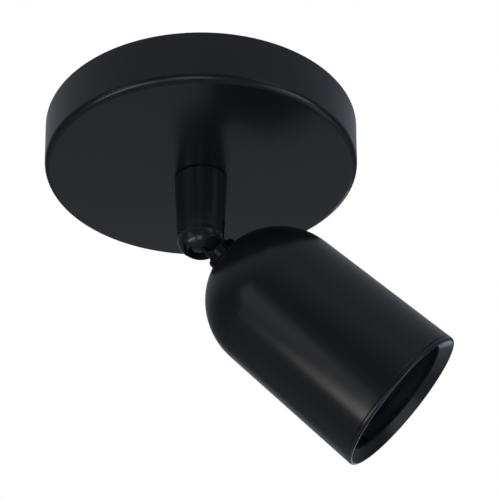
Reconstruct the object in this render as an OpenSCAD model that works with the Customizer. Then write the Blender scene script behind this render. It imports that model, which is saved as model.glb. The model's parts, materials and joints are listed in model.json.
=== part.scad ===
// Ceiling spotlight with a round canopy, a slotted ball joint and a bullet-shaped head.
// Origin: centre of the canopy's rim, in the ceiling plane. +Z is up, the head leans to +X.

/* [Canopy] */
// Diameter of the drum above its rounded lower corner
base_d = 125; // [112:1:150]
// Height of the drum below the ceiling
base_h = 20.5; // [20:0.1:26]
// Radius of the rounded lower corner
base_corner = 2.8; // [1.8:0.1:4]
// How much wider the rim is than the drum, on each side
base_flare = 1.2; // [0.4:0.1:2]
// Sheet thickness of the drum
base_wall = 1.2; // [1:0.1:1.5]

/* [Stem] */
// Diameter of the stem under the canopy
stem_top_d = 21.2; // [21:0.2:24]
// Diameter of the stem at the height of the ball
stem_end_d = 18.4; // [18:0.1:20]
// Height from the ball's centre up to the canopy
stem_drop = 26; // [26:0.5:40]
// Radius of the stem's rounded end
end_round = 7.5; // [7:0.1:8]

/* [Ball joint] */
// Diameter of the ball
ball_d = 14.4; // [14.2:0.1:14.5]
// Diameter of the neck on the ball
neck_d = 9.6; // [9.2:0.1:9.8]
// Thickness of the neck between its two flats
flat_t = 5.2; // [5:0.1:5.6]
// Lean of the head from straight down
head_tilt = 44.4; // [0:0.1:85]
// From the ball's centre to the back of the head's dome
neck_reach = 14.3; // [13.8:0.1:16]

/* [Head] */
// Diameter of the head
head_d = 54.8; // [54.4:0.2:64]
// Length of the head from the back of the dome to the front
head_len = 84.7; // [84:0.5:110]
// Wall of the head
head_wall = 1.3; // [1:0.1:1.6]

/* [Front ring] */
// Length of the ring that shows in front of the head
ring_show = 1.5; // [1.3:0.05:3]
// Diameter of the ring's hole
ring_hole_d = 44.8; // [40:0.2:46]
// Depth of the hole's narrowest place behind the front
ring_depth = 2.8; // [2:0.05:4]
// Length of the sleeve inside the head
ring_sleeve = 7; // [5:0.5:10]

/* [Mounting strap] */
// Distance between the centres of the two slotted holes
slot_spacing = 80; // [74:1:84]
// Length of the slotted holes
slot_len = 14; // [8:1:16]
// Width of the slotted holes
slot_wide = 4.6; // [4:0.1:6]

/* [Hidden] */
$fn = 96;

// Ample length for cuts that pass right through
through = 200;
// How far a cut or a joined piece passes a face
over = 1;
// How far a rounding passes the faces it joins
blend_pass = 0.005;
// Clearance of a turning fit, and of a piece that only slips in
turn_gap = 0.05;
slip_gap = 0.1;

// Radii of the visible bodies
base_r = base_d / 2;
rim_r = base_r + base_flare;
stem_top_r = stem_top_d / 2;
stem_end_r = stem_end_d / 2;
ball_r = ball_d / 2;
neck_r = neck_d / 2;
head_r = head_d / 2;
bore_r = head_r - head_wall;

// Strap: sheet, width, and the underside of its lowered bridge
strap_t = 1.5;
strap_w = 20;
strap_drop = 7;
bridge_half = 27;
foot_end = slot_spacing / 2 + slot_len / 2 + 5;
bridge_top = strap_t - strap_drop;

// Threaded tube and its nuts
thread_r = 5;
tube_bore_r = 3.6;
nut_flats = 14;
nut_t = 2.4;
tooth_t = 0.5;
thread_end = 0.3;
tube_top = bridge_top + tooth_t + nut_t + thread_end;
lock_washer_r = 8.4;
lock_tooth = 1;
lock_teeth = 18;

// Swivel hub: flange, shaft and ring groove, measured down from the canopy
flange_r = 8.2;
flange_t = 2;
shaft_r = 6.3;
hub_len = 9.4;
hub_end_t = 1;
hub_ring_w = 1.6;
hub_ring_r = shaft_r + hub_ring_w;
stem_gap = 0.2;
web_t = 2.5;
slide_t = 0.8;
swivel_spring_t = 0.6;
swivel_spring_cone = 0.5;
circlip_t = 1;
circlip_mouth = 3.2;
groove_r = 5.6;
canopy_z = -base_h;
stem_z = canopy_z - stem_gap;
flange_low = canopy_z - flange_t;
web_top = flange_low - stem_gap;
web_low = web_top - web_t;
slide_low = web_low - slide_t;
circlip_top = slide_low - turn_gap - swivel_spring_t - swivel_spring_cone;
circlip_low = circlip_top - circlip_t;
hub_low = canopy_z - hub_len;
tube_low = hub_low + hub_end_t;

// Stop pin in the flange and the ring channel it runs in
pin_r = 0.8;
pin_orbit = 7.35;
pin_sink = 1.4;
pin_gap = 0.3;
pin_top = flange_low + pin_sink;
channel_half = 0.95;
channel_low = web_top - pin_sink;
pin_low = channel_low + pin_gap;
stop_half_angle = 4;

// Stem's inside, with heights above the ball's centre
ball_z = canopy_z - stem_drop;
seat_gap = 0.08;
bore_gap = 0.3;
shoulder_w = 0.7;
seat_r = ball_r + seat_gap;
ball_bore_r = ball_r + bore_gap;
wide_bore_r = ball_bore_r + shoulder_w;
counterbore_r = flange_r + bore_gap;
bore_floor = 0.6;
cup_low = 5;
cup_top = 8;
spring_t = 0.6;
spring_cone = 0.5;
spring_count = 4;
spring_top = cup_top + spring_count * (spring_t + spring_cone);
adjuster_t = 2.8;
adjuster_slot = 1.6;
adjuster_sink = 1.2;
adjuster_top = spring_top + adjuster_t;
wide_low = spring_top - slip_gap;
end_drop = 1.4;
top_chamfer = 0.35;
lead_hole_r = 4.4;

// Slot, pole hole and relief of the stem
slot_gap = 0.2;
pole_gap = 0.3;
slot_half = flat_t / 2 + slot_gap;
slot_round = slot_half + blend_pass;
slot_centre = 3.2;
pole_r = neck_r + pole_gap;
relief_half = pole_r + 0.2;
relief_reach = 6.3;
relief_corner = 2;
relief_floor_r = ball_r + 1.5;

// Neck and head, as distances from the ball's centre along the head's axis
ring_nut_from = 11.65;
ring_nut_r = 6.7;
ring_nut_teeth = 20;
ring_nut_tooth = 0.7;
flat_end = ring_nut_from;
seat_flat_r = 7;
dome_s = neck_reach + head_r;
seat_s = dome_s - sqrt(head_r * head_r - seat_flat_r * seat_flat_r);
inside_s = seat_s + head_wall;
washer_t = 0.7;
washer_r = 6.2;
washer_tooth = 0.8;
washer_teeth = 14;
foot_s = inside_s + washer_t;
foot_t = 1;
foot_r = 8.8;
tag_s = foot_s + foot_t;
tag_t = 0.6;
tag_r = 6.6;
tag_w = 4;
tag_y = 8.4;
tag_end_y = 9.9;
tag_barrel_r = 1.2;
tag_barrel_len = 1;
neck_nut_s = tag_s + tag_t;
neck_nut_t = 2.5;
neck_nut_flats = 12.2;
neck_past = 1;
neck_end = neck_nut_s + neck_nut_t + neck_past;
front_s = neck_reach + head_len;
seam_s = front_s - ring_show;
seam_edge = 0.2;

// Lampholder: its face lies a lamp's length behind the ring
lamp_len = 46.7;
ring_web = 0.6;
web_s = front_s - ring_depth - ring_web;
holder_face = web_s - lamp_len;
holder_r = 15.5;
holder_deep = 16.8;
holder_back = holder_face - holder_deep;
cover_t = 1.2;
cover_s = holder_back - cover_t;
flange_s = cover_s - foot_t;
leg_x = 7.8;
leg_w = 9;
leg_gap = 0.25;
flange_end_x = 15.4;
screw_x = 12;
screw_r = 1.5;
screw_head_r = 2.6;
screw_head_t = 2;
screw_sink = 3.4;
screw_grip = 0.5;
screw_end = 0.8;
screw_nut_t = 2.4;
small_nut_flats = 5.5;
cross_len = 3.2;
cross_w = 0.7;
cross_deep = 1.1;
pin_pitch = 10;
key_r = 2.9;
key_neck = 3.8;
key_plate = 3.2;
key_sweep = 35;
key_open = 0.5;
cell_half = 4.5;
cell_in = 2.4;
cell_out = 9;
cell_deep = 9.5;
contact_up = 6.5;
contact_t = 0.8;
contact_in = 3;
contact_half = 3;
blade_half = 1.5;
lead_way = 0.3;
pole_lead_y = 5.5;

// Terminal block under the bridge, beside the nut
block_x = 18;
block_w = 15;
block_len = strap_w;
block_gap = 1.8;
block_h = base_h - base_wall - strap_drop - block_gap;
block_low = -strap_drop - block_h;
block_pole = 4.75;
clamp_up = 5;
clamp_z = block_low + clamp_up;
clamp_r = 2.5;
clamp_bore = 1.5;
clamp_inset = 0.8;
clamp_screw_r = 1.2;
clamp_screw_x = 3.6;
clamp_head_r = 1.7;
clamp_head_low = 4.6;
clamp_head_top = 3.2;
clamp_way_r = 1.9;
fixing_r = 1.5;
fixing_head_r = 2.8;
fixing_way_r = 3;
fixing_sink = 2.4;
fixing_head_low = 0.6;
blade_slot = 0.6;
blade_deep = 0.7;
earth_x = -16;
earth_r = 2;
earth_end = 1;
earth_head_r = 3.6;
earth_head_t = 2.2;
earth_slot = 1;
earth_tag_t = 0.8;
earth_tag_r = 4;
earth_tag_w = 3.2;
earth_tag_end = 7.5;
barrel_r = 1.4;
barrel_from = 6.6;
barrel_to = 10.2;
barrel_grip = 7.2;
barrel_z = -strap_drop - earth_tag_t - 0.6;

// Leads, and the place where both bundles end beside the ball's centre
lead_r = 0.8;
bead_r = 0.84;
lead_side = strap_w / 2 + 2.2;
lead_turn_x = 3;
lead_block_x = 9;
lead_end_x = 14;
earth_turn_x = -12;
earth_side = lead_side + 0.6;
earth_turn_z = -4;
bundle_r = 0.98;
row_pitch = 1.7;
lead_gap = 2.2;
room_r = 3.4;
row_bore_r = 1.3;
row_bore_x = 1.45;
wire_slot_half = 2.5;
wire_slot_edge = 2.4;
wire_slot_low = 1.5;
wire_slot_out = 10;
wire_slot_in = 0.2;
top_run_z = -1.15;
fan_turn = 0.6;
fan_x = 2.5;
fan_y = 4.5;
fan_drop = 3.4;
tag_turn_y = 3;
tag_turn_drop = 2;
tag_lead_up = 0.6;

// Ring
ring_round = 0.7;
ring_land = 0.3;
lip_r = head_r - ring_round - ring_land;
sleeve_r = bore_r - turn_gap;
sleeve_wall = 1.1;
sleeve_bore_r = sleeve_r - sleeve_wall;
finger_count = 3;
finger_slit = 1.6;
finger_root = 1;

// A disc or a rod along Z between two heights
module disc(r, z0, z1) {
  translate([0, 0, min(z0, z1)])
    cylinder(r = r, h = abs(z1 - z0));
}

// A flat ring between two heights
module washer(r_out, r_in, z0, z1) {
  difference() {
    disc(r_out, z0, z1);
    disc(r_in, min(z0, z1) - over, max(z0, z1) + over);
  }
}

// A hexagon nut by the width across its flats
module nut(flats, hole_r, z0, z1) {
  difference() {
    translate([0, 0, min(z0, z1)])
      cylinder(r = flats / sqrt(3), h = abs(z1 - z0), $fn = 6);
    disc(hole_r, min(z0, z1) - over, max(z0, z1) + over);
  }
}

// A conical spring washer: its outer edge low, or high when it is turned over
module cone_washer(r_out, r_in, t, cone, turned) {
  low_out = turned ? cone : 0;
  low_in = turned ? 0 : cone;
  rotate_extrude()
    polygon([[r_out, low_out], [r_out, low_out + t], [r_in, low_in + t], [r_in, low_in]]);
}

// A washer with teeth cut round its rim
module toothed_washer(r_out, r_in, z0, z1, teeth, tooth) {
  difference() {
    washer(r_out, r_in, z0, z1);
    for (i = [0 : teeth - 1])
      rotate([0, 0, i * 360 / teeth])
        translate([r_out - tooth, -tooth / 2, min(z0, z1) - over])
          cube([2 * tooth, tooth, abs(z1 - z0) + 2 * over]);
  }
}

// A straight round wire between two points
module wire_leg(a, b) {
  run = b - a;
  span = norm(run);
  translate(a)
    rotate([0, acos(run[2] / span), atan2(run[1], run[0])])
      cylinder(r = lead_r, h = span);
}

// A bent wire: straight legs with a small bead at every bend
module wire(path) {
  for (i = [0 : len(path) - 2])
    wire_leg(path[i], path[i + 1]);
  for (i = [1 : len(path) - 2])
    translate(path[i])
      sphere(r = bead_r);
}

// Places a piece that is drawn hanging straight down from the ball's centre
module on_head() {
  translate([0, 0, ball_z])
    rotate([0, -head_tilt, 0])
      children();
}

// Half section of the drum, or of its inside when it is drawn smaller by the wall
module drum_section(inset) {
  corner = base_corner - inset * 0.7;
  low = canopy_z + inset;
  slope = base_flare / (base_h - base_corner);
  top = inset > 0 ? over : 0;
  r_low = base_r - inset;
  r_bend = r_low - corner * sqrt(1 + slope * slope);
  intersection() {
    polygon([
      [0, top], [rim_r - inset + top * slope, top], [r_low - corner * slope, low], [0, low]
    ]);
    union() {
      translate([0, low + corner])
        square([2 * base_r, base_h + over]);
      translate([0, low - over])
        square([r_bend, corner + 2 * over]);
      translate([r_bend, low + corner])
        circle(r = corner + blend_pass);
    }
  }
}

module canopy() {
  color("#1b1b1d")
    difference() {
      rotate_extrude()
        difference() {
          drum_section(0);
          drum_section(base_wall);
        }
      disc(thread_r + slip_gap, canopy_z - over, canopy_z + base_wall + over);
    }
}

module mounting_bracket() {
  color("#b9bcc0")
    difference() {
      union() {
        translate([-bridge_half, -strap_w / 2, -strap_drop])
          cube([2 * bridge_half, strap_w, strap_t]);
        for (side = [0, 1])
          mirror([side, 0, 0]) {
            translate([bridge_half - strap_t, -strap_w / 2, -strap_drop])
              cube([strap_t, strap_w, strap_drop]);
            translate([bridge_half - strap_t, -strap_w / 2, -strap_t])
              cube([foot_end - bridge_half + strap_t, strap_w, strap_t]);
          }
      }
      disc(thread_r + slip_gap, -strap_drop - over, bridge_top + over);
      for (side = [-1, 1])
        translate([side * slot_spacing / 2, 0, -strap_t - over]) {
          translate([-(slot_len - slot_wide) / 2, -slot_wide / 2, 0])
            cube([slot_len - slot_wide, slot_wide, strap_t + 2 * over]);
          for (end = [-1, 1])
            translate([end * (slot_len - slot_wide) / 2, 0, 0])
              cylinder(d = slot_wide, h = strap_t + 2 * over);
        }
      translate([block_x, 0, -strap_drop - over])
        cylinder(r = fixing_r, h = strap_t + 2 * over);
      translate([earth_x, 0, -strap_drop - over])
        cylinder(r = earth_r, h = strap_t + 2 * over);
    }
}

module nipple() {
  color("#c9b26a")
    washer(thread_r, tube_bore_r, tube_top, tube_low);
}

module nipple_nuts() {
  color("#c4c7ca") {
    nut(nut_flats, thread_r, bridge_top + tooth_t, bridge_top + tooth_t + nut_t);
    nut(nut_flats, thread_r, -strap_drop - nut_t, -strap_drop);
  }
}

module lock_washer() {
  color("#9fa3a8")
    toothed_washer(
      lock_washer_r, thread_r + slip_gap, bridge_top, bridge_top + tooth_t, lock_teeth, lock_tooth
    );
}

// The hub: a flange under the canopy, a shaft for the stem and a groove for the circlip
module swivel_hub() {
  color("#a8abb0")
    difference() {
      union() {
        disc(flange_r, flange_low, canopy_z);
        disc(shaft_r, hub_low, flange_low + over);
      }
      disc(thread_r, tube_low, canopy_z + over);
      disc(tube_bore_r, hub_low - over, tube_low + over);
      washer(shaft_r + over, groove_r, circlip_low, circlip_top);
      translate([pin_orbit, 0, flange_low - over])
        cylinder(r = pin_r, h = pin_top - flange_low + over);
    }
}

module stop_pin() {
  color("#8d9196")
    translate([pin_orbit, 0, pin_low])
      cylinder(r = pin_r, h = pin_top - pin_low);
}

module swivel_spring() {
  color("#a3a7ab")
    translate([0, 0, circlip_top])
      cone_washer(hub_ring_r, shaft_r + slip_gap, swivel_spring_t, swivel_spring_cone, false);
}

module circlip() {
  color("#7f8489")
    difference() {
      washer(hub_ring_r, groove_r, circlip_low, circlip_top);
      translate([0, -circlip_mouth / 2, circlip_low - over])
        cube([hub_ring_r + over, circlip_mouth, circlip_t + 2 * over]);
    }
}

module terminal_block() {
  color("#efeee8")
    difference() {
      translate([block_x - block_w / 2, -block_len / 2, block_low])
        cube([block_w, block_len, block_h]);
      for (i = [-1, 1]) {
        translate([0, i * block_pole, clamp_z])
          rotate([0, 90, 0])
            cylinder(r = clamp_r, h = through);
        for (side = [-1, 1])
          translate([block_x + side * clamp_screw_x, i * block_pole, block_low - over])
            cylinder(r = clamp_way_r, h = clamp_up + over);
      }
      translate([block_x, 0, block_low - over])
        cylinder(r = fixing_r + slip_gap, h = block_h + 2 * over);
      translate([block_x, 0, block_low - over])
        cylinder(r = fixing_way_r, h = fixing_sink + over);
    }
}

module terminal_tubes() {
  color("#c8a64b")
    for (i = [-1, 1])
      translate([block_x, i * block_pole, clamp_z])
        difference() {
          rotate([0, 90, 0])
            disc(clamp_r, clamp_inset - block_w / 2, block_w / 2 - clamp_inset);
          rotate([0, 90, 0])
            disc(clamp_bore, -block_w, block_w);
          for (side = [-1, 1])
            translate([side * clamp_screw_x, 0, -2 * clamp_r])
              cylinder(r = clamp_screw_r, h = 2 * clamp_r);
        }
}

module terminal_screws() {
  color("#c4c7ca")
    for (i = [-1, 1], side = [-1, 1])
      translate([block_x + side * clamp_screw_x, i * block_pole, clamp_z])
        difference() {
          union() {
            disc(clamp_screw_r, -clamp_head_top - over, -lead_r);
            disc(clamp_head_r, -clamp_head_low, -clamp_head_top);
          }
          translate([-2 * clamp_head_r, -blade_slot / 2, -clamp_head_low - over])
            cube([4 * clamp_head_r, blade_slot, over + blade_deep]);
        }
}

module terminal_fixing() {
  color("#c4c7ca")
    translate([block_x, 0, 0])
      union() {
        disc(fixing_r, block_low + fixing_sink - over, bridge_top + nut_t + thread_end);
        disc(fixing_head_r, block_low + fixing_head_low, block_low + fixing_sink);
      }
}

module fixing_nut() {
  color("#c4c7ca")
    translate([block_x, 0, 0])
      nut(small_nut_flats, fixing_r, bridge_top, bridge_top + nut_t);
}

module earth_tag() {
  color("#c8a64b")
    translate([earth_x, 0, 0])
      difference() {
        union() {
          disc(earth_tag_r, -strap_drop - earth_tag_t, -strap_drop);
          translate([-earth_tag_w / 2, -earth_tag_end, -strap_drop - earth_tag_t])
            cube([earth_tag_w, earth_tag_end - earth_r, earth_tag_t]);
          translate([0, -barrel_from, barrel_z])
            rotate([90, 0, 0])
              cylinder(r = barrel_r, h = barrel_to - barrel_from);
        }
        disc(earth_r, -strap_drop - earth_tag_t - over, -strap_drop + over);
        translate([0, -barrel_grip, barrel_z])
          rotate([90, 0, 0])
            cylinder(r = lead_r, h = barrel_to);
      }
}

module earth_screw() {
  color("#c4c7ca")
    translate([earth_x, 0, -strap_drop])
      difference() {
        union() {
          disc(earth_r, -earth_tag_t - over, strap_t + earth_end);
          disc(earth_head_r, -earth_tag_t - earth_head_t, -earth_tag_t);
        }
        translate([-2 * earth_head_r, -earth_slot / 2, -earth_tag_t - earth_head_t - over])
          cube([4 * earth_head_r, earth_slot, over + earth_slot]);
      }
}

// Three leads: two to the block, one to the earth tag, down the tube to the ball
module base_leads() {
  low = ball_z + lead_gap;
  half = bundle_r / 2;
  arm = bundle_r * 0.866;
  color("#d8d4c8") {
    wire([
      [0, bundle_r, low], [0, bundle_r, top_run_z], [lead_turn_x, lead_side, top_run_z],
      [lead_turn_x, lead_side, clamp_z], [lead_block_x, block_pole, clamp_z],
      [lead_end_x, block_pole, clamp_z]
    ]);
    wire([
      [arm, -half, low], [arm, -half, top_run_z], [lead_turn_x, -lead_side, top_run_z],
      [lead_turn_x, -lead_side, clamp_z], [lead_block_x, -block_pole, clamp_z],
      [lead_end_x, -block_pole, clamp_z]
    ]);
    wire([
      [-arm, -half, low], [-arm, -half, top_run_z], [earth_turn_x, -lead_side, top_run_z],
      [earth_x, -earth_side, earth_turn_z], [earth_x, -earth_side, barrel_z],
      [earth_x, -barrel_grip, barrel_z]
    ]);
  }
}

// Half section of the stem's outside: a slow taper and a rounded end
module stem_section() {
  low = ball_z - end_drop;
  flat_r = stem_end_r - end_round;
  intersection() {
    polygon([
      [0, stem_z], [stem_top_r - top_chamfer, stem_z], [stem_top_r, stem_z - top_chamfer],
      [stem_end_r, ball_z], [stem_end_r, low - end_round], [0, low - end_round]
    ]);
    union() {
      translate([0, low])
        square([2 * stem_top_r, stem_drop + 2 * end_drop]);
      translate([0, low - end_round - over])
        square([flat_r, end_round + 2 * over]);
      translate([flat_r, low])
        circle(r = end_round + blend_pass);
    }
  }
}

// A shallow step beside the pole hole, opposite the side slot: its floor follows the ball
module relief() {
  difference() {
    translate([0, 0, -through])
      linear_extrude(height = through)
        union() {
          translate([-relief_reach, relief_corner - relief_half])
            square([relief_reach, 2 * (relief_half - relief_corner)]);
          translate([relief_corner - relief_reach, -relief_half])
            square([relief_reach - relief_corner, 2 * relief_half]);
          for (side = [-1, 1])
            translate([relief_corner - relief_reach, side * (relief_half - relief_corner)])
              circle(r = relief_corner + blend_pass);
        }
    sphere(r = relief_floor_r);
  }
}

// The stem with its ball seat, pole hole, side slot, and the ring channel of the stop pin
module stem() {
  color("#17181a")
    difference() {
      rotate_extrude()
        stem_section();
      disc(counterbore_r, web_top, stem_z + over);
      disc(shaft_r + turn_gap, web_low - over, web_top + over);
      disc(wide_bore_r, ball_z + wide_low, web_low);
      disc(ball_bore_r, ball_z + bore_floor, ball_z + wide_low + over);
      translate([0, 0, ball_z])
        sphere(r = seat_r);
      disc(pole_r, ball_z - through / 2, ball_z);
      translate([0, -slot_half, ball_z - through / 2])
        cube([through, 2 * slot_half, through / 2 + slot_centre]);
      translate([0, 0, ball_z + slot_centre])
        rotate([0, 90, 0])
          cylinder(r = slot_round, h = through);
      translate([0, 0, ball_z])
        relief();
      difference() {
        disc(pin_orbit + channel_half, channel_low, web_top + over);
        linear_extrude(height = through, center = true)
          polygon([
            [0, 0],
            [-through, through * tan(stop_half_angle)],
            [-through, -through * tan(stop_half_angle)]
          ]);
      }
    }
}

module slide_washer() {
  color("#e9e6dd")
    washer(hub_ring_r, shaft_r + slip_gap, slide_low, web_low);
}

// The cup that presses on the ball from above
module pressure_cup() {
  color("#b48f3e")
    difference() {
      disc(ball_bore_r - slip_gap, ball_z + cup_low, ball_z + cup_top);
      disc(lead_hole_r, ball_z, ball_z + cup_top + over);
      translate([0, 0, ball_z])
        sphere(r = ball_r + turn_gap);
    }
}

module disc_springs() {
  color("#8f959b")
    for (i = [0 : spring_count - 1])
      translate([0, 0, ball_z + cup_top + i * (spring_t + spring_cone)])
        cone_washer(
          ball_bore_r - 2 * slip_gap, lead_hole_r + slip_gap, spring_t, spring_cone, i % 2 == 1
        );
}

module adjusting_ring() {
  color("#a9adb2")
    difference() {
      washer(wide_bore_r, lead_hole_r, ball_z + spring_top, ball_z + adjuster_top);
      translate([-2 * wide_bore_r, -adjuster_slot / 2, ball_z + adjuster_top - adjuster_sink])
        cube([4 * wide_bore_r, adjuster_slot, adjuster_sink + over]);
    }
}

// The ball, its flat-sided neck, and the way for the leads through both
module ball_neck() {
  color("#2a2b2e")
    on_head()
      difference() {
        union() {
          sphere(r = ball_r);
          intersection() {
            disc(neck_r, -flat_end, 0);
            translate([-through / 2, -flat_t / 2, -through / 2])
              cube([through, flat_t, through]);
          }
          disc(neck_r, -neck_end, -flat_end);
        }
        sphere(r = room_r);
        for (side = [-1, 1])
          translate([side * row_bore_x, 0, -neck_end - over])
            cylinder(r = row_bore_r, h = neck_end + over);
        translate([-row_bore_x, -row_bore_r, -neck_end - over])
          cube([2 * row_bore_x, 2 * row_bore_r, neck_end + over]);
        rotate([90, 0, 0])
          linear_extrude(height = 2 * wire_slot_half, center = true)
            polygon([
              [-wire_slot_edge, 0], [-wire_slot_edge, wire_slot_out], [wire_slot_out, wire_slot_out],
              [wire_slot_out, -wire_slot_low], [wire_slot_in, -wire_slot_edge]
            ]);
      }
}

module ring_nut() {
  color("#202124")
    on_head()
      toothed_washer(ring_nut_r, neck_r, -seat_s, -ring_nut_from, ring_nut_teeth, ring_nut_tooth);
}

// Half section of a bullet: a dome with its top cut flat, then a straight side
module bullet_section(r, flat_s, end_s) {
  intersection() {
    union() {
      translate([0, -dome_s])
        circle(r = r);
      translate([0, -end_s])
        square([r, end_s - dome_s]);
    }
    translate([0, -end_s])
      square([r + over, end_s - flat_s]);
  }
}

// Section of the small bevel on each side of the seam between head and ring
module edge_cut(level, way) {
  polygon([
    [head_r - seam_edge, level], [head_r + over, level + way * over],
    [head_r + over, level - way * (seam_edge + over)]
  ]);
}

module head_shell() {
  color("#1c1c1e")
    on_head()
      rotate_extrude()
        difference() {
          bullet_section(head_r, seat_s, seam_s);
          bullet_section(bore_r, inside_s, seam_s + over);
          translate([0, -inside_s - over])
            square([neck_r + slip_gap, inside_s]);
          edge_cut(-seam_s, -1);
        }
}

module inner_washer() {
  color("#a3a7ab")
    on_head()
      toothed_washer(washer_r, neck_r + slip_gap, -foot_s, -inside_s, washer_teeth, washer_tooth);
}

// A bridge from the neck nut to the lampholder, with its two feet turned outwards
module holder_bracket() {
  color("#b9bcc0")
    on_head()
      intersection() {
        difference() {
          union() {
            disc(foot_r, -tag_s, -foot_s);
            for (side = [0, 1])
              mirror([side, 0, 0]) {
                translate([leg_x, -leg_w / 2, -flange_s - foot_t])
                  cube([foot_t, leg_w, flange_s + foot_t - foot_s]);
                translate([leg_x, -leg_w / 2, -flange_s - foot_t])
                  cube([flange_end_x - leg_x, leg_w, foot_t]);
              }
          }
          disc(neck_r + slip_gap, -tag_s - over, -foot_s + over);
          for (side = [-1, 1])
            translate([side * screw_x, 0, -flange_s - 2 * foot_t])
              cylinder(r = screw_r + slip_gap, h = 3 * foot_t);
        }
        translate([0, 0, -dome_s])
          sphere(r = bore_r - leg_gap);
      }
}

module head_earth_tag() {
  color("#c8a64b")
    on_head()
      union() {
        washer(tag_r, neck_r + slip_gap, -neck_nut_s, -tag_s);
        translate([-tag_w / 2, -tag_end_y, -neck_nut_s])
          cube([tag_w, tag_end_y - neck_r - slip_gap - over, tag_t]);
        translate([0, -tag_y, -neck_nut_s - tag_barrel_len])
          cylinder(r = tag_barrel_r, h = tag_barrel_len + tag_t / 2);
      }
}

module neck_nut() {
  color("#c4c7ca")
    on_head()
      nut(neck_nut_flats, neck_r, -neck_nut_s - neck_nut_t, -neck_nut_s);
}

module holder_cover() {
  color("#c9b79a")
    on_head()
      difference() {
        disc(holder_r, -holder_back, -cover_s);
        for (side = [-1, 1]) {
          translate([0, side * pole_lead_y, -holder_back - over])
            cylinder(r = lead_r + lead_way, h = cover_t + 2 * over);
          translate([side * screw_x, 0, -holder_back - over])
            cylinder(r = screw_r + slip_gap, h = cover_t + 2 * over);
        }
      }
}

// One key-shaped socket: a round way in, then a narrow arc with a wider one behind it
module key_socket() {
  orbit = pin_pitch / 2;
  translate([0, orbit, -holder_face - over])
    cylinder(r = key_r, h = holder_deep - cell_deep + over + key_open);
  translate([0, 0, -holder_face - over])
    rotate([0, 0, 90])
      rotate_extrude(angle = key_sweep)
        translate([orbit - key_neck / 2, 0])
          square([key_neck, key_plate + 2 * over]);
  translate([0, 0, -holder_face + key_plate])
    rotate([0, 0, 90])
      rotate_extrude(angle = key_sweep)
        translate([orbit - key_r, 0])
          square([2 * key_r, holder_deep - cell_deep - key_plate + key_open]);
}

module lampholder() {
  color("#e8e3d6")
    on_head()
      difference() {
        disc(holder_r, -holder_face, -holder_back);
        for (turn = [0, 180])
          rotate([0, 0, turn]) {
            key_socket();
            translate([-cell_half, cell_in, -holder_back - cell_deep])
              cube([2 * cell_half, cell_out - cell_in, cell_deep + over]);
            translate([screw_x, 0, -holder_face - over])
              cylinder(r = screw_r + slip_gap, h = holder_deep + 2 * over);
            translate([screw_x, 0, -holder_face - over])
              cylinder(r = screw_head_r + 2 * slip_gap, h = screw_sink + over);
          }
      }
}

module holder_contacts() {
  color("#d2b45a")
    on_head()
      for (turn = [0, 180])
        rotate([0, 0, turn])
          union() {
            translate([-contact_half, contact_in, -holder_back - contact_up - contact_t])
              cube([2 * contact_half, cell_out - contact_in, contact_t]);
            translate([-blade_half, cell_out - contact_t, -holder_back - contact_up])
              cube([2 * blade_half, contact_t, contact_up]);
          }
}

module holder_screws() {
  under_head = -holder_face + screw_sink;
  head_front = under_head - screw_head_t;
  color("#c4c7ca")
    on_head()
      for (side = [-1, 1])
        translate([side * screw_x, 0, 0])
          difference() {
            union() {
              disc(screw_r, under_head - screw_grip, -flange_s + screw_nut_t + screw_end);
              disc(screw_head_r, head_front, under_head);
            }
            for (turn = [0, 90])
              rotate([0, 0, turn])
                translate([-cross_len / 2, -cross_w / 2, head_front - over])
                  cube([cross_len, cross_w, over + cross_deep]);
          }
}

module holder_nuts() {
  color("#c4c7ca")
    on_head()
      for (side = [-1, 1])
        translate([side * screw_x, 0, 0])
          nut(small_nut_flats, screw_r, -flange_s, -flange_s + screw_nut_t);
}

// Three leads side by side through the neck: two to the contacts, one to the earth tag
module head_leads() {
  fan_s = neck_end + fan_turn;
  nut_end = neck_nut_s + neck_nut_t;
  color("#d8d4c8")
    on_head() {
      for (side = [-1, 1])
        wire([
          [side * row_pitch, 0, -lead_gap], [side * row_pitch, 0, -fan_s],
          [side * fan_x, side * fan_y, -fan_s - fan_drop], [0, side * pole_lead_y, -flange_s + foot_t],
          [0, side * pole_lead_y, -holder_back - contact_up]
        ]);
      wire([
        [0, 0, -lead_gap], [0, 0, -fan_s - fan_turn], [0, -tag_turn_y, -neck_end - tag_turn_drop],
        [0, -tag_y, -nut_end - tag_lead_up], [0, -tag_y, -neck_nut_s - tag_barrel_len]
      ]);
    }
}

// Half section of the ring: rounded front edge, funnel, lamp seat and sleeve
module ring_section() {
  hole_r = ring_hole_d / 2;
  back_s = seam_s - ring_sleeve;
  difference() {
    union() {
      translate([0, -front_s + ring_round])
        square([head_r, ring_show - ring_round]);
      translate([0, -front_s])
        square([head_r - ring_round, ring_show]);
      intersection() {
        translate([head_r - ring_round, -front_s + ring_round])
          circle(r = ring_round);
        translate([0, -front_s])
          square([head_r, ring_show]);
      }
      translate([0, -seam_s])
        square([sleeve_r, ring_sleeve]);
    }
    edge_cut(-seam_s, 1);
    polygon([
      [0, -front_s - over], [lip_r, -front_s - over], [lip_r, -front_s],
      [hole_r, -front_s + ring_depth], [hole_r, -web_s],
      [sleeve_bore_r, -web_s], [sleeve_bore_r, -back_s + over], [0, -back_s + over]
    ]);
  }
}

module front_ring() {
  color("#1c1c1e")
    on_head()
      difference() {
        rotate_extrude()
          ring_section();
        for (i = [0 : finger_count - 1])
          rotate([0, 0, i * 360 / finger_count])
            translate([sleeve_bore_r - over, -finger_slit / 2, -web_s + finger_root])
              cube([sleeve_wall + 2 * over, finger_slit, ring_sleeve]);
      }
}

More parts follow.
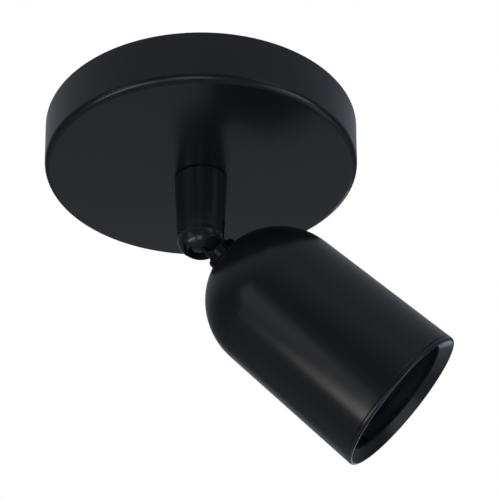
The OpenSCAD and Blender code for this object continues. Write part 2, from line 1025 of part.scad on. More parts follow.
canopy();
mounting_bracket();
nipple();
nipple_nuts();
lock_washer();
swivel_hub();
stop_pin();
swivel_spring();
circlip();
terminal_block();
terminal_tubes();
terminal_screws();
terminal_fixing();
fixing_nut();
earth_tag();
earth_screw();
base_leads();
stem();
slide_washer();
pressure_cup();
disc_springs();
adjusting_ring();
ball_neck();
ring_nut();
head_shell();
inner_washer();
holder_bracket();
head_earth_tag();
neck_nut();
holder_cover();
lampholder();
holder_contacts();
holder_screws();
holder_nuts();
head_leads();
front_ring();
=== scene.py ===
# %% [markdown]
# # A black ceiling spotlight, dressed in Blender
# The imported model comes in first. Its bodies and nodes are the fixed frame: every piece made
# here rides on one of those bodies, in metres, in the same place as the real part. The model's
# joints also tell where the ball lies and which way the head points, so none of that is measured
# a second time.

# %% Load the frame
import json
import math

import bpy
import numpy as np
from mathutils import Matrix, Vector


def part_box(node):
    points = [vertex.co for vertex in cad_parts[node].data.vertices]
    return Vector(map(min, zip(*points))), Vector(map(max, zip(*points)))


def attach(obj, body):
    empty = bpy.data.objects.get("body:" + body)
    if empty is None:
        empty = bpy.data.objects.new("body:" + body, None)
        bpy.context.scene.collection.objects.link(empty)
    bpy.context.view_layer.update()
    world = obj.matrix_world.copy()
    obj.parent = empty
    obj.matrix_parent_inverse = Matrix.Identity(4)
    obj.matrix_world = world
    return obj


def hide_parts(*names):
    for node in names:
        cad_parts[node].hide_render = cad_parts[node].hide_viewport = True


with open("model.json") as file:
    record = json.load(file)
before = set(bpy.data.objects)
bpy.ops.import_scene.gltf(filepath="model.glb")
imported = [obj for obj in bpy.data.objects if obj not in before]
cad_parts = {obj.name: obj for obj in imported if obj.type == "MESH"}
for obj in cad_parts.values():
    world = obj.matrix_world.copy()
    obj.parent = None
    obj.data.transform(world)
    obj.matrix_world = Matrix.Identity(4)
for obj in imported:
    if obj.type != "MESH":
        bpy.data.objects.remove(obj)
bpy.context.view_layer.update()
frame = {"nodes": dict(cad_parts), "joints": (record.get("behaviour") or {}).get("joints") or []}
nodes = frame["nodes"]
joints = {joint["name"]: joint for joint in frame["joints"]}
MM = 0.001  # a millimetre in Blender's metres
BALL = Vector(joints["head_tilt"]["pos_m"])
HEAD_WAY = Vector(joints["ring_pull"]["axis"])
TILT = math.radians(-joints["head_tilt"]["range_deg"][0])
print("the head hangs", round(math.degrees(TILT), 1), "degrees out of the vertical")

# %% [markdown]
# ## Camera
# The picture was taken from below, close to the lamp, so near parts look clearly larger than far
# ones. A camera can be placed by eye, but here its place was worked out, so that the outlines of
# canopy, stem and head fall where the picture has them. Then a difference that is left in the
# render is one of shape or finish. The picture's centre lies off the lens axis, so the camera
# gets a small shift as well.

# %% Camera at the picture's angle
PICTURE = 500  # pixels across
FOCAL_PX = 946.99
SHIFT_PX = (-49.31, -53.88)
DISTANCE = 0.39281  # metres from the ceiling's centre
RISE, PITCH, YAW, ROLL = 0.64147, -0.06022, 0.0002, -0.00155  # radians
TURN = math.radians(6.80)  # the lamp's turn about its stem
SENSOR = 36.0  # millimetres
NEAR, FAR = 0.01, 20  # metres


def turned(axis, angle):
    """The 3 by 3 matrix that turns by an angle about X, Y or Z."""
    return Matrix.Rotation(angle, 3, axis)


def camera_rows():
    """Rows right, up and forward of a camera that looks at the ceiling's centre from below,
    then tipped by pitch, yaw and roll, and carried round Z with the lamp."""
    high, flat = math.sin(RISE), math.cos(RISE)
    level = Matrix(((1, 0, 0), (0, -high, flat), (0, flat, high)))
    small = turned("Z", ROLL) @ turned("Y", YAW) @ turned("X", PITCH)
    return small @ level @ turned("Z", TURN).transposed()


def picture_point(p):
    """Where a point of the model falls in the picture, in pixels from the top left corner."""
    right, up, ahead = rows @ (Vector(p) - eye)
    middle_x, middle_y = (PICTURE / 2 + shift for shift in SHIFT_PX)
    return middle_x + FOCAL_PX * right / ahead, middle_y - FOCAL_PX * up / ahead


eye = turned("Z", TURN) @ Vector((0, -DISTANCE * math.cos(RISE), -DISTANCE * math.sin(RISE)))
rows = camera_rows()
cam_data = bpy.data.cameras.new("camera")
cam = bpy.data.objects.new("camera", cam_data)
bpy.context.scene.collection.objects.link(cam)
facing = Matrix((rows[0], rows[1], -rows[2])).transposed().to_quaternion()
cam.matrix_world = Matrix.LocRotScale(eye, facing, None)
cam_data.sensor_width = SENSOR
cam_data.lens = FOCAL_PX / PICTURE * SENSOR
cam_data.shift_x = -SHIFT_PX[0] / PICTURE
cam_data.shift_y = SHIFT_PX[1] / PICTURE
cam_data.clip_start, cam_data.clip_end = NEAR, FAR
bpy.context.scene.camera = cam
print("the ball falls at pixel", [round(v, 1) for v in picture_point(BALL)])

# %% [markdown]
# ## Helpers for materials
# A colour is written as the hex value that a screen shows, because that is what a maker's colour
# card gives, and one function turns it to linear light. Each material is a small net of nodes,
# built with one function that adds a node, sets it and links it, so a net reads from its
# pattern at the top to its shader at the end.

# %% Colour and node helpers


def linear(hexcode):
    """Linear RGBA of an sRGB hex value: each channel c becomes ((c + 0.055) / 1.055) to the 2.4,
    or c / 12.92 in the darkest part."""
    c = np.array([int(hexcode[i : i + 2], 16) for i in (1, 3, 5)]) / 255
    low, high = c / 12.92, ((c + 0.055) / 1.055) ** 2.4
    return (*np.where(c <= 0.04045, low, high).tolist(), 1.0)


def add(tree, kind, settings=(), links=()):
    """Adds a node. A setting is an attribute or a socket's own value, and a link joins a socket to
    another node's output. Attributes come first, because they decide which sockets there are."""
    node = tree.nodes.new(kind)
    for key, value in dict(settings).items():
        if isinstance(key, str) and hasattr(node, key):
            setattr(node, key, value)
        else:
            node.inputs[key].default_value = value
    for key, out in dict(links).items():
        tree.links.new(out, node.inputs[key])
    return node


def finish_of(name, base, metal, rough, **extra):
    """A new material of one shade. Returns it with its node tree, its shader and the Object
    coordinate, which patterns are drawn with because it stays with the piece when it moves."""
    made = bpy.data.materials.new(name)
    made.use_nodes = True
    tree = made.node_tree
    tree.nodes.clear()
    shader = add(tree, "ShaderNodeBsdfPrincipled", {
        "Base Color": linear(base), "Metallic": metal, "Roughness": rough, **extra,
    })
    add(tree, "ShaderNodeOutputMaterial", (), {"Surface": shader.outputs["BSDF"]})
    place = add(tree, "ShaderNodeTexCoord").outputs["Object"]
    return made, tree, shader, place


print("the screen's middle grey is", round(linear("#808080")[0], 3), "in linear light")

# %% [markdown]
# ## Black powder coat
# Canopy, stem, head and ring are sprayed with polyester powder and baked. The film flows out to a
# satin skin with a very fine orange peel, so reflections are soft and their edges a little broken.
# A single black with one roughness would look like a screen's black, so two noises are used:
# one about 25 mm wide lets shade and gloss drift, as a sprayed film does, and a finer one bumps
# the skin by a few micrometres. The stem is a small turned part that takes a glossier film, and
# its own two shades are paler than the body's: painted light, which makes the stem read brighter.

# %% Powder coat material
POWDER_IOR = 1.5
DRIFT, DRIFT_DETAIL = 25 * MM, 3.0
# A real peel is 0.1 to 0.3 mm wide. It is drawn 0.5 mm wide, the finest that the picture shows.
PEEL, PEEL_DETAIL, PEEL_HIGH = 0.5 * MM, 2.0, 0.008 * MM


def powder_coat(name, dark, light, rough_low, rough_high):
    """A black baked powder: its shade and gloss drift over the part, and a fine peel bumps it."""
    made, net, skin, at = finish_of(name, dark, 0.0, (rough_low + rough_high) / 2, IOR=POWDER_IOR)
    drift = add(
        net, "ShaderNodeTexNoise", {"Scale": 1 / DRIFT, "Detail": DRIFT_DETAIL}, {"Vector": at}
    ).outputs["Fac"]
    shade = add(
        net, "ShaderNodeMix", {"data_type": "RGBA", "A": linear(dark), "B": linear(light)},
        {"Factor": drift},
    )
    gloss = add(
        net, "ShaderNodeMapRange", {"To Min": rough_low, "To Max": rough_high}, {"Value": drift}
    )
    peel = add(
        net, "ShaderNodeTexNoise", {"Scale": 1 / PEEL, "Detail": PEEL_DETAIL}, {"Vector": at}
    )
    bump = add(net, "ShaderNodeBump", {"Distance": PEEL_HIGH}, {"Height": peel.outputs["Fac"]})
    net.links.new(shade.outputs["Result"], skin.inputs["Base Color"])
    net.links.new(gloss.outputs["Result"], skin.inputs["Roughness"])
    net.links.new(bump.outputs["Normal"], skin.inputs["Normal"])
    return made


BODY_SHADES, BODY_GLOSS = ("#1a1c1f", "#1e2124"), (0.21, 0.27)
# The stem's two shades are paler than the body's: painted light that makes the stem read brighter.
STEM_PAINTED_LIGHT_SHADES, STEM_GLOSS = ("#23262a", "#272a2e"), (0.17, 0.21)
coat = powder_coat("black_polyester_powder_coat", *BODY_SHADES, *BODY_GLOSS)
stem_coat = powder_coat("black_polyester_powder_coat_on_stem", *STEM_PAINTED_LIGHT_SHADES, *STEM_GLOSS)
print("powder coat with a peel of", PEEL / MM, "mm")

# %% [markdown]
# ## Painted light inside the head
# The head's bore is painted a paler grey than the outside and made matter. The paler grey is
# painted light: it stands in for the light that reaches into the opening, so the opening looks
# evenly dark and not black. The bore could have a material of its own, but the model's meshes are
# not changed here. So the material finds out where it is: a point that lies nearer to the head's
# axis than the middle of the wall, and between the dome and the front, is inside. Its distance
# from the axis is the length of the cross product of the axis and the way from the ball to the
# point.

# %% Powder coat with painted light inside the head
# The bore's paler shade is painted light for the light that reaches into the head; the bore is
# also matter.
BORE_PAINTED_LIGHT, BORE_ROUGH = "#2b2e31", 0.55
WALL_MIDDLE = 26.8 * MM
BORE_FROM, BORE_TO = 42 * MM, 96 * MM

head_coat = powder_coat("black_powder_coat_with_painted_light_inside", *BODY_SHADES, *BODY_GLOSS)
net = head_coat.node_tree
at = add(net, "ShaderNodeTexCoord").outputs["Object"]
from_ball = add(
    net, "ShaderNodeVectorMath", {"operation": "SUBTRACT", 1: BALL}, {0: at}
).outputs[0]
square = add(
    net, "ShaderNodeVectorMath", {"operation": "CROSS_PRODUCT", 1: HEAD_WAY}, {0: from_ball}
).outputs[0]
off_axis = add(net, "ShaderNodeVectorMath", {"operation": "LENGTH"}, {0: square}).outputs["Value"]
along = add(
    net, "ShaderNodeVectorMath", {"operation": "DOT_PRODUCT", 1: HEAD_WAY}, {0: from_ball}
).outputs["Value"]
near_axis = add(net, "ShaderNodeMath", {"operation": "LESS_THAN", 1: WALL_MIDDLE}, {0: off_axis})
in_length = add(net, "ShaderNodeMath", {
    "operation": "COMPARE", 1: (BORE_FROM + BORE_TO) / 2, 2: (BORE_TO - BORE_FROM) / 2,
}, {0: along})
inside = add(net, "ShaderNodeMath", {"operation": "MULTIPLY"}, {
    0: near_axis.outputs[0], 1: in_length.outputs[0],
}).outputs[0]
skin = next(node for node in net.nodes if node.type == "BSDF_PRINCIPLED")
# Inside the bore, the coat's shade gives way to the paler painted light and its roughness to the
# matter one.
for socket, kind, inside_value in (
    ("Base Color", "RGBA", linear(BORE_PAINTED_LIGHT)),
    ("Roughness", "FLOAT", BORE_ROUGH),
):
    outside = skin.inputs[socket].links[0].from_socket
    either = add(
        net, "ShaderNodeMix", {"data_type": kind, "B": inside_value}, {"Factor": inside, "A": outside}
    )
    net.links.new(either.outputs["Result"], skin.inputs[socket])
print("painted light inside from", BORE_FROM / MM, "to", BORE_TO / MM, "mm in front of the ball")

# %% [markdown]
# ## Metals
# Strap, nuts and screws are zinc-plated steel, springs are bare hardened steel, the hub and the
# adjusting ring are turned, and the tube and the contacts are brass. A real metal part is never
# one even mirror: plating clouds, heat tints and tool marks change its colour and gloss together.
# So one noise drives colour, roughness and a bump of 0.01 mm, at a width that fits each process.
# Zinc gives the eye a cool bright grey with clouds, spring steel a darker tighter grey, turned
# steel fine marks, and brass a warm yellow.

# %% Metal materials
METAL_DETAIL, METAL_HIGH = 4.0, 0.01 * MM


def metal_of(name, light, dark, rough_low, rough_high, grain):
    """A metal whose colour and roughness wander between two values, in clouds a grain wide."""
    made, net, skin, at = finish_of(name, light, 1.0, (rough_low + rough_high) / 2)
    cloud = add(
        net, "ShaderNodeTexNoise", {"Scale": 1 / grain, "Detail": METAL_DETAIL}, {"Vector": at}
    ).outputs["Fac"]
    shade = add(
        net, "ShaderNodeMix", {"data_type": "RGBA", "A": linear(light), "B": linear(dark)},
        {"Factor": cloud},
    )
    gloss = add(
        net, "ShaderNodeMapRange", {"To Min": rough_low, "To Max": rough_high}, {"Value": cloud}
    )
    bump = add(net, "ShaderNodeBump", {"Distance": METAL_HIGH}, {"Height": cloud})
    net.links.new(shade.outputs["Result"], skin.inputs["Base Color"])
    net.links.new(gloss.outputs["Result"], skin.inputs["Roughness"])
    net.links.new(bump.outputs["Normal"], skin.inputs["Normal"])
    return made


zinc = metal_of("zinc_plated_steel", "#c3c7cb", "#9ea3a9", 0.26, 0.42, 2.0 * MM)
spring = metal_of("hardened_spring_steel", "#8b8f94", "#6d7075", 0.22, 0.36, 1.0 * MM)
turned_steel = metal_of("turned_steel", "#a9adb2", "#8e9297", 0.25, 0.38, 0.6 * MM)
brass = metal_of("drawn_brass", "#d2b263", "#b08f45", 0.20, 0.34, 1.5 * MM)
print("metals:", [made.name for made in (zinc, spring, turned_steel, brass)])

# %% [markdown]
# ## Black stoved enamel
# The neck with its ball and the toothed ring are steel, dipped in a black enamel that is stoved
# hard. It is thin and glossy, so the neck shows narrow bright lines where the powder coat beside
# it shows soft ones. Wet paint levels itself almost flat, so its peel is wider and lower than
# the powder's, and mostly shows in the gloss.

# %% Stoved enamel material
ENAMEL, ENAMEL_IOR = "#0b0b0c", 1.5
ENAMEL_ROUGH, ENAMEL_GLOSS = 0.16, (0.12, 0.22)
LEVEL_PEEL, LEVEL_DETAIL, LEVEL_HIGH = 0.8 * MM, 2.0, 0.003 * MM

gloss_black, net, skin, at = finish_of(
    "black_stoved_steel", ENAMEL, 0.0, ENAMEL_ROUGH, IOR=ENAMEL_IOR
)
peel = add(
    net, "ShaderNodeTexNoise", {"Scale": 1 / LEVEL_PEEL, "Detail": LEVEL_DETAIL}, {"Vector": at}
).outputs["Fac"]
gloss = add(
    net, "ShaderNodeMapRange", {"To Min": ENAMEL_GLOSS[0], "To Max": ENAMEL_GLOSS[1]},
    {"Value": peel},
)
bump = add(net, "ShaderNodeBump", {"Distance": LEVEL_HIGH}, {"Height": peel})
net.links.new(gloss.outputs["Result"], skin.inputs["Roughness"])
net.links.new(bump.outputs["Normal"], skin.inputs["Normal"])
print("enamel with a roughness of", ENAMEL_GLOSS[0], "to", ENAMEL_GLOSS[1])

# %% [markdown]
# ## Insulators
# The lampholder is pressed steatite, a fired stone powder with a dry, faintly speckled skin. Its
# back cover is mica board, whose flakes show as wider brown patches, and the terminal block and
# the sliding washer are moulded nylon, nearly even and waxy. All three are pale with darker
# specks, so one function makes them from two shades, a speck width and a depth.

# %% Insulator materials
INSULATOR_IOR, SPECK_DETAIL = 1.5, 3.0
# The noise is stretched past 0 and 1, so that patches of either pure shade are left in it.
SPECK_FROM, SPECK_TO = -0.5, 1.3


def speckled(name, light, dark, rough, grain, high):
    """An insulator with specks of a darker shade: grain is their width, high their relief."""
    made, net, skin, at = finish_of(name, light, 0.0, rough, IOR=INSULATOR_IOR)
    cloud = add(
        net, "ShaderNodeTexNoise", {"Scale": 1 / grain, "Detail": SPECK_DETAIL}, {"Vector": at}
    ).outputs["Fac"]
    speck = add(
        net, "ShaderNodeMapRange", {"To Min": SPECK_FROM, "To Max": SPECK_TO}, {"Value": cloud}
    )
    shade = add(
        net, "ShaderNodeMix", {"data_type": "RGBA", "A": linear(light), "B": linear(dark)},
        {"Factor": speck.outputs["Result"]},
    )
    bump = add(net, "ShaderNodeBump", {"Distance": high}, {"Height": cloud})
    net.links.new(shade.outputs["Result"], skin.inputs["Base Color"])
    net.links.new(bump.outputs["Normal"], skin.inputs["Normal"])
    return made


steatite = speckled("pressed_steatite", "#e9e4d8", "#d3ccbc", 0.5, 0.6 * MM, 0.02 * MM)
mica = speckled("mica_board", "#c2ab86", "#9a8461", 0.4, 1.2 * MM, 0.02 * MM)
nylon = speckled("moulded_nylon", "#efede6", "#e2dfd5", 0.42, 3.0 * MM, 0.005 * MM)
print("insulators:", [made.name for made in (steatite, mica, nylon)])

# %% [markdown]
# ## Silicone rubber on the leads
# Leads that run near a hot lamp are covered with extruded silicone rubber, which is matt and
# slightly dusty. Brown and blue carry the current, and earth is green with a yellow stripe. The
# stripe runs along the lead, so it can't be drawn from where a point lies in space. It
# is drawn from the UV map, whose first number is the share of the way around the lead.

# %% Silicone materials
RUBBER_ROUGH, RUBBER_GRAIN, RUBBER_HIGH = 0.45, 2.0 * MM, 0.005 * MM
GREEN, YELLOW, GREEN_SHARE = "#2f8a45", "#e2c62f", 0.62

brown = speckled(
    "silicone_rubber_brown", "#6a4128", "#5a3520", RUBBER_ROUGH, RUBBER_GRAIN, RUBBER_HIGH
)
blue = speckled(
    "silicone_rubber_blue", "#2f6fb5", "#285f9e", RUBBER_ROUGH, RUBBER_GRAIN, RUBBER_HIGH
)
earth, net, skin, at = finish_of(
    "silicone_rubber_green_yellow", GREEN, 0.0, RUBBER_ROUGH, IOR=INSULATOR_IOR
)
around = add(net, "ShaderNodeUVMap", {"uv_map": "around"}).outputs["UV"]
share = add(net, "ShaderNodeSeparateXYZ", (), {"Vector": around}).outputs["X"]
striped = add(net, "ShaderNodeMath", {"operation": "GREATER_THAN", 1: GREEN_SHARE}, {0: share})
shade = add(
    net, "ShaderNodeMix", {"data_type": "RGBA", "A": linear(GREEN), "B": linear(YELLOW)},
    {"Factor": striped.outputs[0]},
)
net.links.new(shade.outputs["Result"], skin.inputs["Base Color"])
print("yellow covers", round(1 - GREEN_SHARE, 2), "of the earth lead's girth")

# %% [markdown]
# ## A skin from a grid of points
# The new pieces are all tubes of some kind, so one function turns a grid of points into a closed
# skin. Each row of the grid is a ring round the piece and each column runs along it. A tube
# with ends gets a fan of triangles at both, and a tube with a bore closes its last row on its
# first, like a tyre. Working out whole rows at once is quicker than placing points one by one.

# %% Surfaces from grids of points
SHARP = math.radians(40)


def surface(name, grid, finish, ring_of_rows=False):
    """A closed mesh from a grid of points: every row is a closed ring, each cell is one face, and
    the rows either close up into a ring of their own or end in a point in the middle of the
    first and last row. Its UV map holds the share of the way around and the row's number."""
    rows, cols = grid.shape[:2]
    last = rows if ring_of_rows else rows - 1
    r, c = np.meshgrid(np.arange(last), np.arange(cols), indexing="ij")
    up, on = (r + 1) % rows, (c + 1) % cols
    corners = [r * cols + c, r * cols + on, up * cols + on, up * cols + c]
    shares = np.stack([c, c + 1, c + 1, c], -1).reshape(-1) / cols
    levels = np.stack([r, r, r + 1, r + 1], -1).reshape(-1)
    points, faces = grid.reshape(-1, 3), np.stack(corners, -1).reshape(-1, 4).tolist()
    if not ring_of_rows:
        points = np.vstack([points, grid[0].mean(0), grid[-1].mean(0)])
        first_middle, last_row = rows * cols, (rows - 1) * cols
        after = (np.arange(cols) + 1) % cols
        faces += [(first_middle, int(b), int(a)) for a, b in enumerate(after)]
        faces += [(first_middle + 1, last_row + a, last_row + int(b)) for a, b in enumerate(after)]
    mesh = bpy.data.meshes.new(name)
    mesh.from_pydata(points.tolist(), [], faces)
    uv = np.zeros((len(mesh.loops), 2))
    uv[: len(shares)] = np.stack([shares, levels], -1)
    mesh.uv_layers.new(name="around").data.foreach_set("uv", uv.ravel())
    mesh.polygons.foreach_set("use_smooth", np.ones(len(faces), bool))
    mesh.set_sharp_from_angle(angle=SHARP)
    mesh.materials.append(finish)
    made = bpy.data.objects.new(name, mesh)
    bpy.context.scene.collection.objects.link(made)
    return made


print("edges sharper than", round(math.degrees(SHARP)), "degrees stay sharp")

# %% [markdown]
# ## A round tube along a bent path
# The model's leads are straight legs with a bead at every bend. A real lead is round and bends
# softly, because its rubber is stiff. A curve object with a bevel could draw it, but then the
# ring of points would turn freely round the lead and the stripe with it. So the path's corners
# are bridged first, and then a ring is carried along the path without any twist.

# %% Path and tube
BEND_STEPS = 9
TUBE_SIDES = 20
ASIDE = np.array([0.37, 0.92, 0.11])  # a direction that no lead starts along


def soft_corners(corners, bend):
    """Points of a path whose corners are bridged: the path leaves a leg up to bend before the
    corner c, but not before the leg's middle, and follows (1 - t)^2 start + 2 t (1 - t) c
    + t^2 end to the same place on the next leg."""
    t = np.linspace(0, 1, BEND_STEPS)[:, None]
    path = [corners[:1]]
    for a, c, b in zip(corners, corners[1:], corners[2:]):
        back, on = a - c, b - c
        start = c + back * min(bend / np.linalg.norm(back), 0.5)
        end = c + on * min(bend / np.linalg.norm(on), 0.5)
        path.append((1 - t) ** 2 * start + 2 * t * (1 - t) * c + t**2 * end)
    return np.vstack([*path, corners[-1:]])


def tube_along(path, radius):
    """Rings of a round tube: around each point p of the path lie p + radius (u cos a + v sin a),
    where u and v stand square to the path and are carried along it without twist."""
    ahead = np.gradient(path, axis=0)
    ahead /= np.linalg.norm(ahead, axis=1)[:, None]
    u = np.cross(ahead[0], ASIDE)
    across = []
    for way in ahead:
        u = u - way * (u @ way)
        u = u / np.linalg.norm(u)
        across.append(u)
    across = np.array(across)
    beside = np.cross(ahead, across)
    a = np.linspace(0, 2 * np.pi, TUBE_SIDES, endpoint=False)[None, :, None]
    return path[:, None] + radius * (across[:, None] * np.cos(a) + beside[:, None] * np.sin(a))


print("a corner is bridged by", BEND_STEPS, "rings of", TUBE_SIDES, "points")

# %% [markdown]
# ## Six leads
# Three leads come down the threaded tube in a bundle: brown and blue from the terminal block, and
# earth from the tag on the strap. They end beside the ball's centre. In the head three more leave
# the ball side by side, go through the neck and fan out to the two contacts and the earth
# tag. Each is drawn on the corners that the model's own lead has, in millimetres and under the
# same names, and rides on the same body.

# %% Corners of the leads
LEAD_R, LEAD_BEND, LEAD_GAP = 0.8, 2.2, 2.2
BUNDLE_R, TOP_RUN_Z, LEAD_SIDE = 0.98, -1.15, 12.2
LEAD_TURN_X, LEAD_BLOCK_X, LEAD_END_X = 3, 9, 14
BLOCK_POLE, CLAMP_Z = 4.75, -12.5
EARTH_TURN_X, EARTH_X, EARTH_SIDE, EARTH_TURN_Z = -12, -16, 12.8, -4
BARREL_GRIP, BARREL_Z = 7.2, -8.4
ROW_PITCH, POLE_LEAD_Y, TAG_TURN_Y, TAG_Y = 1.7, 5.5, 3, 8.4
FAN_S, FAN_TURN, FAN_X, FAN_Y, FAN_DROP = 22.91, 0.6, 2.5, 4.5, 3.4
FOOT_S, CONTACT_S, TAG_TURN_S, TAG_OVER_S, TAG_BARREL_S = 28.9, 38.6, 24.31, 21.91, 19.81
BALL_MM = np.array(BALL) / MM


def up_the_tube(degrees):
    """First two corners of a lead that lies at this angle in the bundle of three."""
    x, y = (BUNDLE_R * f(math.radians(degrees)) for f in (math.cos, math.sin))
    return [(x, y, BALL_MM[2] + LEAD_GAP), (x, y, TOP_RUN_Z)]


def to_block(side, degrees):
    """Corners of a lamp lead, side 1 or -1: up the tube, out beside the strap, into the block."""
    return up_the_tube(degrees) + [
        (LEAD_TURN_X, side * LEAD_SIDE, TOP_RUN_Z), (LEAD_TURN_X, side * LEAD_SIDE, CLAMP_Z),
        (LEAD_BLOCK_X, side * BLOCK_POLE, CLAMP_Z), (LEAD_END_X, side * BLOCK_POLE, CLAMP_Z),
    ]


def to_contact(side):
    """Corners of a contact lead, side 1 or -1, as if the head hung straight down."""
    return [
        (side * ROW_PITCH, 0, -LEAD_GAP), (side * ROW_PITCH, 0, -FAN_S),
        (side * FAN_X, side * FAN_Y, -FAN_S - FAN_DROP),
        (0, side * POLE_LEAD_Y, -FOOT_S), (0, side * POLE_LEAD_Y, -CONTACT_S),
    ]


to_strap_tag = up_the_tube(210) + [
    (EARTH_TURN_X, -LEAD_SIDE, TOP_RUN_Z), (EARTH_X, -EARTH_SIDE, EARTH_TURN_Z),
    (EARTH_X, -EARTH_SIDE, BARREL_Z), (EARTH_X, -BARREL_GRIP, BARREL_Z),
]
to_head_tag = [
    (0, 0, -LEAD_GAP), (0, 0, -FAN_S - FAN_TURN), (0, -TAG_TURN_Y, -TAG_TURN_S),
    (0, -TAG_Y, -TAG_OVER_S), (0, -TAG_Y, -TAG_BARREL_S),
]
print("the bundle starts", LEAD_GAP, "mm above the ball's centre, at", round(BALL_MM[2], 1), "mm")

# %% [markdown]
# ## Laying the leads
# The leads at the ceiling are drawn where their corners are. Those of the head were written for a
# head that hangs straight down, so their corners are turned by the tilt and set at the ball's
# centre before a tube is drawn along them.

# %% Make the leads
base_rows = [
    ("base_lead_brown", brown, to_block(1, 90)),
    ("base_lead_blue", blue, to_block(-1, -30)),
    ("base_lead_earth", earth, to_strap_tag),
]
head_rows = [
    ("head_lead_brown", brown, to_contact(1)),
    ("head_lead_blue", blue, to_contact(-1)),
    ("head_lead_earth", earth, to_head_tag),
]
for body, node, tip, shift, leads in (
    ("base", "base_leads", np.eye(3), np.zeros(3), base_rows),
    ("head", "head_leads", np.array(turned("Y", -TILT)), BALL_MM, head_rows),
):
    for name, rubber, corners in leads:
        placed = np.array(corners, float) @ tip.T + shift
        path = soft_corners(placed, LEAD_BEND) * MM
        lead = surface(name, tube_along(path, LEAD_R * MM), rubber)
        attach(lead, body)
        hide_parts(node)
        length = np.linalg.norm(np.diff(path, axis=0), axis=1).sum()
        print(name, "is", round(length / MM, 1), "mm long")

# %% [markdown]
# ## Thread on the tube
# The canopy hangs on an M10 tube with a fine thread of 1 mm pitch. The model has a plain tube, so
# the thread is drawn between the same two ends and around the same bore. Rings stacked one on
# another would look like a thread from afar, but a real one climbs. So the radius depends on
# height and angle together: its tooth is |2 f - 1|, where f is the part after the point of
# z / pitch - angle / 360 degrees. Near both ends the tooth fades out, as a chamfered thread does.

# %% Threaded tube
THREAD_R, BORE_R, PITCH, DEPTH, FADE = 5.0, 3.6, 1.0, 0.55, 0.6
RINGS_A_TURN, RING_POINTS = 8, 48
tube_low, tube_high = (corner[2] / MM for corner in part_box("nipple"))
ring_count = int(RINGS_A_TURN * (tube_high - tube_low) / PITCH)
z = np.linspace(tube_low, tube_high, ring_count)[:, None]
turn = np.linspace(0, 2 * np.pi, RING_POINTS, endpoint=False)[None]
tooth = np.abs(((z / PITCH - turn / (2 * np.pi)) % 1) * 2 - 1)
near_end = np.clip(np.minimum(z - tube_low, tube_high - z) / FADE, 0, 1)
outer = THREAD_R - DEPTH + DEPTH * tooth * near_end
rings = np.stack([outer * np.cos(turn), outer * np.sin(turn), z + 0 * turn], -1)
bore = np.stack([BORE_R * np.cos(turn), BORE_R * np.sin(turn), 0 * turn], -1)
rims = [bore + [0, 0, tube_high], bore + [0, 0, tube_low]]
threaded = surface("threaded_tube", np.vstack([rings, *rims]) * MM, brass, ring_of_rows=True)
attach(threaded, "base")
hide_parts("nipple")
print("the thread has", round((tube_high - tube_low) / PITCH, 1), "turns,",
      len(threaded.data.polygons), "faces")

# %% [markdown]
# ## Finishes on the model's own nodes
# Every other node already has the right shape, down to teeth, slots and screw heads. Drawing it
# again would only let it drift away from the model, so the node stays and gets its finish.

# %% Dress the nodes
FINISH = {
    coat: ["canopy"],
    head_coat: ["head_shell", "front_ring"],
    stem_coat: ["stem"],
    gloss_black: ["ball_neck", "ring_nut"],
    zinc: ["mounting_bracket", "nipple_nuts", "terminal_screws", "terminal_fixing", "fixing_nut",
           "earth_screw", "holder_bracket", "neck_nut", "holder_screws", "holder_nuts"],
    spring: ["lock_washer", "stop_pin", "swivel_spring", "circlip", "disc_springs",
             "inner_washer"],
    turned_steel: ["swivel_hub", "adjusting_ring"],
    brass: ["terminal_tubes", "earth_tag", "pressure_cup", "head_earth_tag", "holder_contacts"],
    steatite: ["lampholder"],
    mica: ["holder_cover"],
    nylon: ["terminal_block", "slide_washer"],
}
for finish, names in FINISH.items():
    for name in names:
        slots = nodes[name].data.materials
        slots.clear()
        slots.append(finish)
dressed = sum(map(len, FINISH.values()))
print("dressed", dressed, "of", len(nodes), "nodes, the rest have pieces of their own")

# %% [markdown]
# ## Floor
# The lamp hangs over a pale paper floor, far below it. The picture's ground is pure white, and a
# floor lit by soft boxes is not. Lighting it up to white would throw too much light onto the
# lamp's underside, so the paper shows nearly all white to the camera only, and to the lamp
# it is the pale paper that it is.

# %% Paper floor
FLOOR_Z, FLOOR_HALF = -2.4, 6.0  # metres
PAPER, PAPER_ROUGH, PAPER_GLOSS, MOTTLES_A_METRE = "#d0d0ce", 0.9, (0.86, 0.94), 3.0
WHITE, WHITE_SHARE = (1, 1, 1, 1), 0.97

square = np.array([[-1, -1, 0], [1, -1, 0], [1, 1, 0], [-1, 1, 0]])
floor_mesh = bpy.data.meshes.new("floor")
floor_mesh.from_pydata((square * FLOOR_HALF + [0, 0, FLOOR_Z]).tolist(), [], [(0, 1, 2, 3)])
floor = bpy.data.objects.new("floor", floor_mesh)
bpy.context.scene.collection.objects.link(floor)
paper, net, skin, at = finish_of("matt_paper", PAPER, 0.0, PAPER_ROUGH)
mottle = add(net, "ShaderNodeTexNoise", {"Scale": MOTTLES_A_METRE}, {"Vector": at})
gloss = add(
    net, "ShaderNodeMapRange", {"To Min": PAPER_GLOSS[0], "To Max": PAPER_GLOSS[1]},
    {"Value": mottle.outputs["Fac"]},
)
net.links.new(gloss.outputs["Result"], skin.inputs["Roughness"])
glow = add(net, "ShaderNodeEmission", {"Color": WHITE, "Strength": 1.0})
to_camera = add(net, "ShaderNodeLightPath").outputs["Is Camera Ray"]
share = add(net, "ShaderNodeMath", {"operation": "MULTIPLY", 1: WHITE_SHARE}, {0: to_camera})
lifted = add(net, "ShaderNodeMixShader", (), {
    0: share.outputs[0], 1: skin.outputs["BSDF"], 2: glow.outputs["Emission"],
})
out = next(node for node in net.nodes if node.type == "OUTPUT_MATERIAL")
net.links.new(lifted.outputs["Shader"], out.inputs["Surface"])
floor_mesh.materials.append(paper)
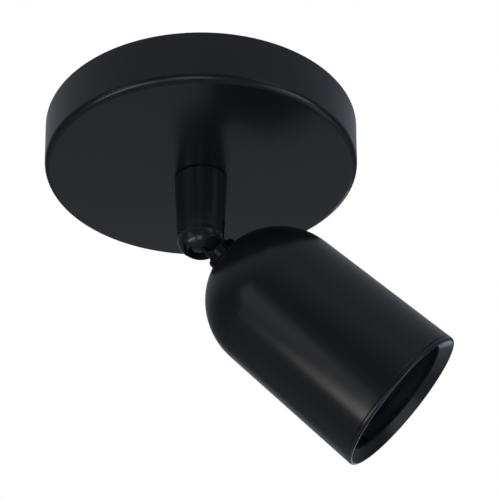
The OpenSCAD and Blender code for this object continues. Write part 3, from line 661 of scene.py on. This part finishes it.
print("floor", 2 * FLOOR_HALF, "m wide,", -FLOOR_Z, "m below the ceiling")

# %% [markdown]
# ## Surround
# A white studio reflects in the lamp as a cool glow that grows towards the ceiling. An even
# surround would flatten the canopy's side, so the glow rises smoothly with the height of the
# direction that is looked in, from EVEN to EVEN + ABOVE. The camera itself sees plain white.

# %% Surround
EVEN, ABOVE = 0.1, 0.21
RISES_FROM, RISES_TO = 0.1, 0.6
STUDIO = "#eaf2ff"

world = bpy.data.worlds.new("surround")
world.use_nodes = True
net = world.node_tree
net.nodes.clear()
direction = add(net, "ShaderNodeTexCoord").outputs["Generated"]
height = add(net, "ShaderNodeSeparateXYZ", (), {"Vector": direction}).outputs["Z"]
glow = add(net, "ShaderNodeMapRange", {
    "interpolation_type": "SMOOTHSTEP", "From Min": RISES_FROM, "From Max": RISES_TO,
    "To Min": EVEN, "To Max": EVEN + ABOVE,
}, {"Value": height}).outputs["Result"]
lit = add(net, "ShaderNodeBackground", {"Color": linear(STUDIO)}, {"Strength": glow})
seen = add(net, "ShaderNodeBackground", {"Color": WHITE, "Strength": 1.0})
to_camera = add(net, "ShaderNodeLightPath").outputs["Is Camera Ray"]
both = add(net, "ShaderNodeMixShader", (), {
    0: to_camera, 1: lit.outputs["Background"], 2: seen.outputs["Background"],
})
add(net, "ShaderNodeOutputWorld", (), {"Surface": both.outputs["Shader"]})
bpy.context.scene.world = world
print("the surround glows from", EVEN, "beside the lamp to", round(EVEN + ABOVE, 2), "above it")

# %% [markdown]
# ## Soft boxes
# A black lamp shows its shape almost only by what it reflects, so each box is there for one
# reflection in the picture. The long warm box at the left draws the highlight on the head's lower
# flank. Boxes at the front and right light the head's upper side and the ring's funnel, those
# behind light the canopy's underside and draw the line on its corner, and the one above
# lights the canopy's side. All stand on one sphere round the lamp and face it, so a box is given
# by its two angles, its width and height in metres, its watts and its tone.

# %% Soft boxes
MIDDLE, LIGHT_FAR, BOX = Vector((0.035, 0, -0.065)), 1.5, 0.6  # metres
WARM, COOL, COLD = "#fffaf2", "#e8f0ff", "#dce8ff"


def soft_box(name, azimuth, elevation, watts, tone, width=BOX, height=BOX):
    """A soft box LIGHT_FAR away from the lamp's middle and facing it. Azimuth 0 is the viewer's
    side, 90 the right, and a negative elevation lies below, both in degrees."""
    data = bpy.data.lights.new(name, "AREA")
    data.shape = "RECTANGLE"
    data.size, data.size_y, data.energy = width, height, watts
    data.color = linear(tone)[:3]
    az, el = math.radians(azimuth), math.radians(elevation)
    way = Vector((math.sin(az) * math.cos(el), -math.cos(az) * math.cos(el), math.sin(el)))
    light = bpy.data.objects.new(name, data)
    light.location = MIDDLE + way * LIGHT_FAR
    light.rotation_euler = way.to_track_quat("Z", "Y").to_euler()
    bpy.context.scene.collection.objects.link(light)


soft_box("left_long", -50, -34, 2.6, WARM, width=1.0, height=0.26)
soft_box("left_floor", -42, -48, 0.25, WARM, width=0.5, height=0.3)
soft_box("left", -47, -8, 0.6, COOL)
soft_box("front_low", -2, -36, 1.8, COLD)
soft_box("right", 71, -18, 2.2, COOL)
soft_box("right_floor", 67, -43, 0.75, COLD)
soft_box("right_high", 49, 12, 0.55, COLD)
soft_box("back_low", -176, -36, 0.8, COOL, width=1.6, height=1.2)
soft_box("back", -164, 2, 0.2, COOL)
soft_box("back_right", 165, -1, 0.5, COOL, width=0.5, height=0.4)
soft_box("back_high", -176, 21, 0.4, COOL)
soft_box("above", -31, 66, 2.5, COOL)
soft_box("right_back_low", 105, -35, 0.6, COOL)
bpy.context.scene.view_settings.view_transform = "Standard"
